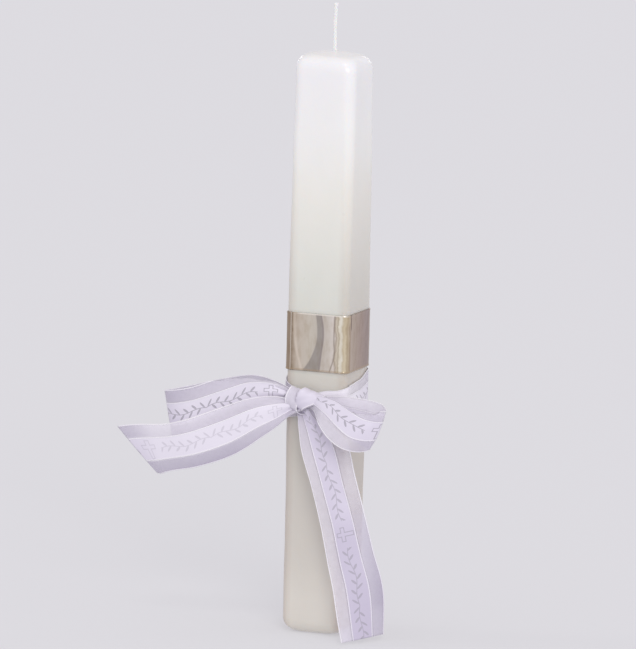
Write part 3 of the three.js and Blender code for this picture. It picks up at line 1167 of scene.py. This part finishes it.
def tail_left():
    strip = strip_through(TAIL_LEFT, -1, print_from=-89)
    strip.pleat(2, 0.8, drift=0.02, phase=2.0)
    strip.camber([(0, 0), (0.3, -1.0), (0.7, -1.4), (1, -0.5)])
    strip.shade(
        [(0, 0.6), (0.25, 0.4), (0.5, 0.22), (1, 0.22)],
        [(0, 0.75), (0.2, 0.9), (0.6, 0.95), (0.85, 0.85), (1, 0.4)],
        [(0, 0.7), (0.2, 0.82), (0.85, 0.8), (1, 0.6)],
    )
    strip.veil([(0, 0.6), (0.3, 0.5), (1, 0.42)], [(0, 0.6), (0.3, 0.42), (0.8, 0.4), (1, 0.5)])
    strip.build("bow_tail_left", "gathered", ["ribbon_knot"], "ribbon_tail_left")


DROP = KNOT[2] - 2.4  # from the knot's middle down to the tail's end
TAIL_RIGHT = [
    (-1, 3.2, -2, (1, 0.15, 0), 0.3),
    (1, 3.1, -6.6, (1, 0.15, 0), 0.38),
    (7.4, 4.1, -0.121 * DROP, (0.93, 0.33, 0.1), 0.74),
    (11.8, 4.6, -0.192 * DROP, (0.9, 0.36, 0.18), 0.94),
    (17.6, 5.6, -0.333 * DROP, (0.9, 0.36, 0.24), 0.92),
    (24.2, 7.1, -0.504 * DROP, (0.9, 0.36, 0.24), 0.93),
    (28.8, 7.1, -0.654 * DROP, (0.9, 0.36, 0.24), 0.97),
    (33.2, 7.1, -0.785 * DROP, (0.87, 0.42, 0.2), 1.02),
    (36, 6.1, -DROP, (0.62, 0.78, 0.1), 1),
]


def tail_right():
    strip = strip_through(TAIL_RIGHT, -1, print_from=-71, print_up=-1, ink=0.6)
    strip.pleat(1.5, 0.5, drift=0.02)
    strip.slide([(0, 0), (0.12, -1.3), (0.35, -1.2), (0.55, -0.5), (1, 0)])
    strip.camber([(0, 0), (0.3, 0.6), (0.8, 0.8), (1, 0.4)])
    strip.shade(
        [(0, 0.5), (0.12, 0.7), (0.3, 0.85), (0.8, 0.9), (1, 0.75)],
        [(0, 0.5), (0.15, 0.8), (0.35, 0.8), (0.55, 0.45), (0.85, 0.2), (0.92, 0.35), (1, 0.4)],
        [(0, 0.4), (0.12, 0.46), (0.3, 0.5), (0.45, 0.46), (0.6, 0.36), (1, 0.32)],
    )
    strip.veil(
        [(0, 0.7), (0.15, 0.5), (0.5, 0.36), (0.9, 0.34), (1, 0.5)],
        [(0, 0.6), (0.2, 0.3), (0.45, 0.3), (0.6, 0.5), (1, 0.5)],
    )
    strip.build("bow_tail_right", "gathered", ["ribbon_knot"], "ribbon_tail_right")


# How far the wrap is gathered and drawn down, by distance from the knot round its right side.
RIGHT_PULL = [(0, 1), (13, 0.78), (26, 0.52), (37, 0.44), (54, 0.03), (60, 0)]
LEFT_PULL_REACH = 15  # it falls off over this distance round the left side
PULL_GATHER = 0.52  # share of the width lost at the knot
PULL_DIP = 10.5  # how far the upper edge dips at the knot
WRAP_INSET = 0.42  # from the outside of the CAD wrap to the cloth
WRAP_END_GAP = 0.4  # keeps the two ends apart under the knot


def wrap():
    """Once round the wax, dipping and gathered where both ends run under the knot."""
    half = (WRAP_HIGH[0] - WRAP_LOW[0]) / 2 - WRAP_INSET
    ring = square_ring(half, WAX_CORNER + 0.6, 0, 30, 8)
    start = int(np.argmin(np.hypot(ring[:, 0] - KNOT[0], ring[:, 1] + half)))
    ring = np.vstack([np.roll(ring, -start, 0), ring[start]])
    total = distances(ring)[-1]
    ring[-1, 0] -= WRAP_END_GAP
    along = distances(ring)
    right_pull = np.array([ease(s, RIGHT_PULL) for s in along])
    pull = right_pull + np.exp(-(((total - along) / LEFT_PULL_REACH) ** 2))
    share = 1 - PULL_GATHER * pull
    top = WRAP_HIGH[2] - PULL_DIP * pull
    ring[:, 2] = top - RIBBON_WIDTH * share / 2
    upward = np.tile([0.0, 0.0, 1.0], (len(ring), 1))
    strip = Strip(np.column_stack([ring, upward, share]), -1, print_from=-20)
    strip.pleat(3, 0.3, outward=True)
    strip.shade(
        [(0, 0.95), (0.2, 0.95), (0.32, 0.7), (0.5, 0.5), (1, 0.8)],
        [(0, 1.0), (0.24, 1.0), (0.3, 0.85), (0.42, 0.7), (0.55, 0.5), (0.9, 0.6), (1, 0.9)],
    )
    strip.veil(
        [(0, 0.75), (0.2, 0.7), (1, 0.6)],
        [(0, 0.9), (0.14, 0.85), (0.22, 0.55), (0.9, 0.5), (1, 0.8)],
    )
    strip.build("candle_wrap", "gathered", ["wax_body"], "ribbon_wrap")


BAND = [
    (5.8, 1.5, 3.0, (0.94, 0, -0.32), 1),
    (5.9, 4.4, 4.9, (0.95, 0, -0.31), 1),
    (4.9, 7.0, 4.2, (0.93, 0, -0.37), 1),
    (2.4, 8.2, 2.6, (0.86, 0.05, -0.51), 1),
    (-1.0, 8.5, 1.3, (0.81, 0.05, -0.58), 1),
    (-4.0, 7.8, -0.4, (0.82, 0, -0.57), 1),
    (-5.9, 5.4, -3.0, (0.92, 0, -0.39), 1),
    (-6.2, 3.0, -4.8, (1, 0, 0), 1),
]

CUFF = [
    (-11.2, 1.6, 5.2, (0.96, 0, -0.28), 1),
    (-11.8, 4.2, 8.6, (0.96, 0, -0.28), 1),
    (-12.6, 6.6, 7.4, (0.95, 0, -0.32), 1),
    (-13.6, 7.8, 4.6, (0.9, 0, -0.43), 1),
    (-13.6, 7.6, 1.6, (0.86, 0, -0.5), 1),
    (-12.4, 6.2, -1.0, (0.88, 0, -0.47), 1),
    (-10.8, 3.6, -2.4, (0.92, 0, -0.4), 1),
]
HEM_BEND = 0.35  # radius of the turned edges of the knot's two pieces


def knot():
    """The band, whose satin fans out at the top and is drawn to a point at the lower left, and the
    cuff beside it: the organza edge of the same ribbon, folded double."""
    dense = [(0, 0.8)]
    band = strip_through(BAND, -1, ink=0)
    band.crease(0.12, 4.3, 0.14)
    right_edge = [(0, 6.1)]
    left_edge = [(0, 5.7), (0.3, 5.4), (0.43, 4.2), (0.58, 1.5)]
    left_edge += [(0.7, -0.9), (0.84, -2.9), (1, -3.5)]
    band.tuck(1, right_edge, HEM_BEND, left_edge)
    band.tuck(-1, left_edge, HEM_BEND, right_edge)
    band.camber([(0, 0.2), (0.4, 0.35), (0.7, 0.25), (1, 0.2)])
    band.shade([(0, 0.55), (0.4, 0.64), (1, 0.38)], [(0, 0.55), (0.4, 0.66), (0.7, 0.52), (1, 0.3)])
    band.veil(dense, dense)
    cuff = strip_through(CUFF, -1, ink=0, columns=COLUMNS[COLUMNS >= 0])
    cuff.crease(0.14, 3.1, 0.1)
    cuff.tuck(-1, [(0, -5.35)], HEM_BEND)
    cuff.shade([(0, 0.8), (1, 0.6)], [(0, 0.6), (0.5, 0.7), (1, 0.4)])
    cuff.veil(dense, dense)
    band.build("bow_knot", "folded", ["candle_wrap"], "ribbon_knot")
    cuff.build("bow_knot_cuff", "folded", ["candle_wrap"], "ribbon_knot")


# ---- the whole scene

bpy.context.scene.view_settings.view_transform = "Standard"
add_camera()
add_lights()
add_floor()
add_wax()
add_wick()
add_sleeve()
wrap()
loop_left()
loop_right()
tail_left()
tail_right()
knot()
